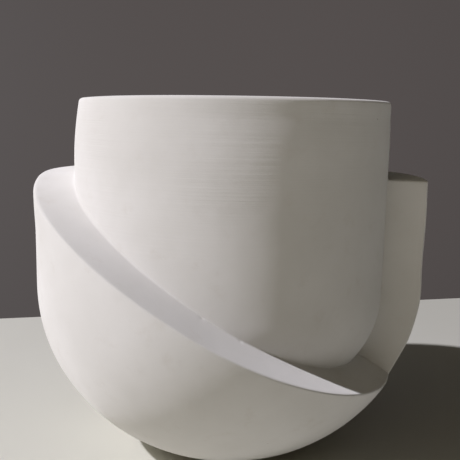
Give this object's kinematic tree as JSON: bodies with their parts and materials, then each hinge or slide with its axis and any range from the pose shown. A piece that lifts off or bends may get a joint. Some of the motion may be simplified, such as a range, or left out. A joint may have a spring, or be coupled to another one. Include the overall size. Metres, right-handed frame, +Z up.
{
  "type": "plaster mold",
  "caption": "Two-part plaster casting mold: an open-topped turned core with a casting cavity, seated in a bowl-shaped outer shell cut away by a winding ledge.",
  "frame": {"origin": "centre of the shell's flat foot, on the surface that the mold stands on", "axes": "+Z up along the turning axis; -Y towards the front, where the shell is cut away; +X to the right, where the cut ends in an upright step"},
  "size_m": [0.248, 0.247, 0.224],
  "materials": {
    "core_plaster": "matte white plaster with fine turning lines",
    "shell_plaster": "matte white plaster, scraped and sanded smooth",
    "key_resin": "matte moulded"
  },
  "bodies": {
    "shell": {"outer_shell": "shell_plaster", "key_peg_1": "key_resin", "key_peg_2": "key_resin", "key_peg_3": "key_resin"},
    "core": {"core": "core_plaster", "key_cup_1": "key_resin", "key_cup_2": "key_resin", "key_cup_3": "key_resin"}
  },
  "joints": [
    {"name": "core_lift", "type": "slide", "parent": "shell", "child": "core", "axis": [0, 0, 1], "range_m": [0, 0.15]}
  ]
}
